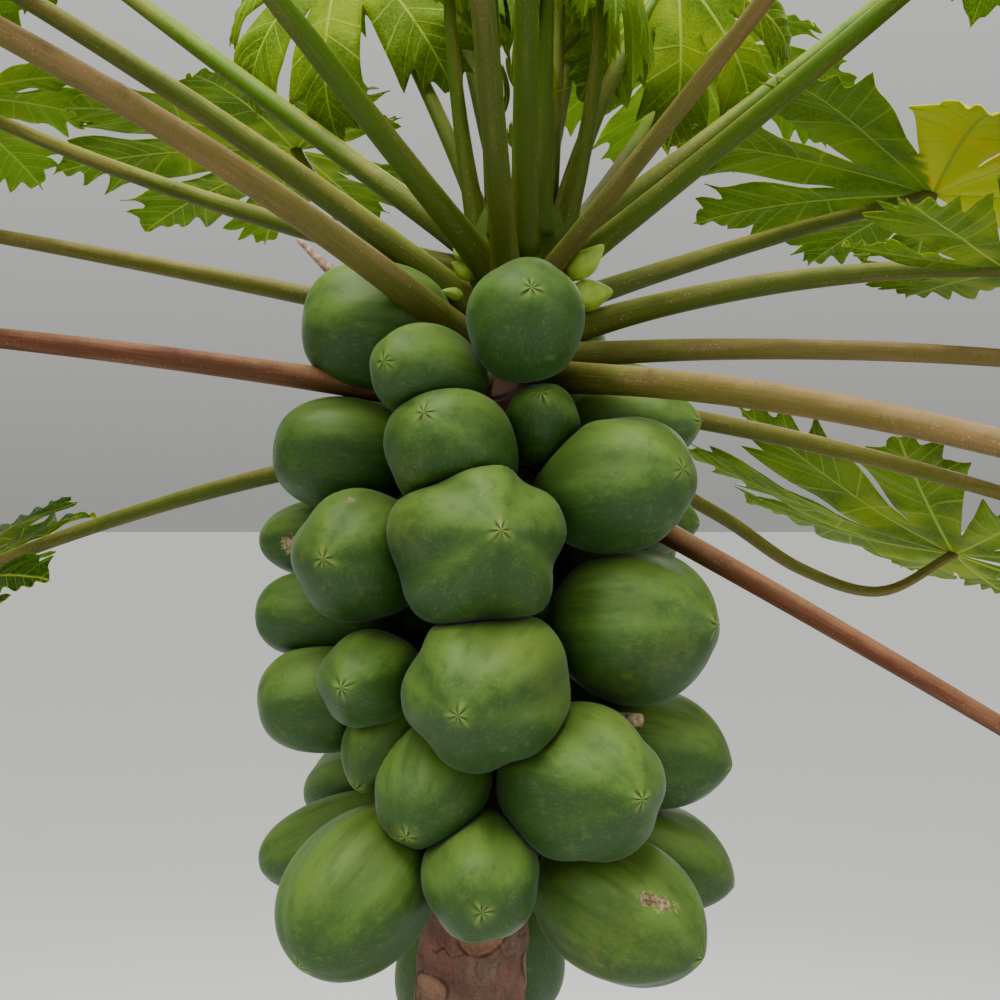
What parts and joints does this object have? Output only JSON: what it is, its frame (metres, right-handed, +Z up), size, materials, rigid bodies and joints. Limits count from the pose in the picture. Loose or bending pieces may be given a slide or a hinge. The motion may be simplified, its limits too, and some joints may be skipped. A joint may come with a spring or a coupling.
{
  "type": "papaya tree",
  "caption": "Young papaya tree: one leaning tapered stem with a flared foot, green fruit packed round its upper part, and an open crown of lobed leaves on long stalks.",
  "frame": {"origin": "centre of the flat cut under the stem, at ground level", "axes": "+Z up, +X to the right and -Y towards the viewer of the picture; the stem leans a little towards +X"},
  "size_m": [1.61, 1.546, 2.3659],
  "materials": {
    "bark": "matt pinkish grey-brown bark with shallow leaf scars",
    "leaf": "satin leaf green, older stalks tan to red-brown",
    "fruit": "waxy unripe green skin with a faint bloom"
  },
  "bodies": {
    "root": {"stem": "bark", "leaf_01": "leaf", "leaf_02": "leaf", "leaf_03": "leaf", "leaf_04": "leaf", "leaf_05": "leaf", "leaf_06": "leaf", "leaf_07": "leaf", "leaf_08": "leaf", "leaf_09": "leaf", "leaf_10": "leaf", "leaf_11": "leaf", "leaf_12": "leaf", "leaf_13": "leaf", "leaf_14": "leaf", "leaf_15": "leaf", "leaf_16": "leaf", "leaf_17": "leaf", "leaf_18": "leaf", "leaf_19": "leaf", "leaf_20": "leaf", "leaf_21": "leaf", "leaf_22": "leaf", "leaf_23": "leaf", "leaf_24": "leaf", "leaf_25": "leaf", "leaf_26": "leaf", "leaf_27": "leaf", "leaf_28": "leaf", "young_leaves": "leaf", "fruit_01": "fruit", "fruit_02": "fruit", "fruit_03": "fruit", "fruit_04": "fruit", "fruit_05": "fruit", "fruit_06": "fruit", "fruit_07": "fruit", "fruit_08": "fruit", "fruit_09": "fruit", "fruit_10": "fruit", "fruit_11": "fruit", "fruit_12": "fruit", "fruit_13": "fruit", "fruit_14": "fruit", "fruit_15": "fruit", "fruit_16": "fruit", "fruit_17": "fruit", "fruit_18": "fruit", "fruit_19": "fruit", "fruit_20": "fruit", "fruit_bunch_a": "fruit", "fruit_bunch_b": "fruit", "fruit_bunch_c": "fruit", "fruit_bunch_d": "fruit", "fruit_bunch_e": "fruit", "fruit_bunch_f": "fruit", "fruit_bunch_g": "fruit", "fruit_bunch_h": "fruit", "fruit_bunch_i": "fruit", "fruit_bunch_j": "fruit"}
  },
  "joints": []
}
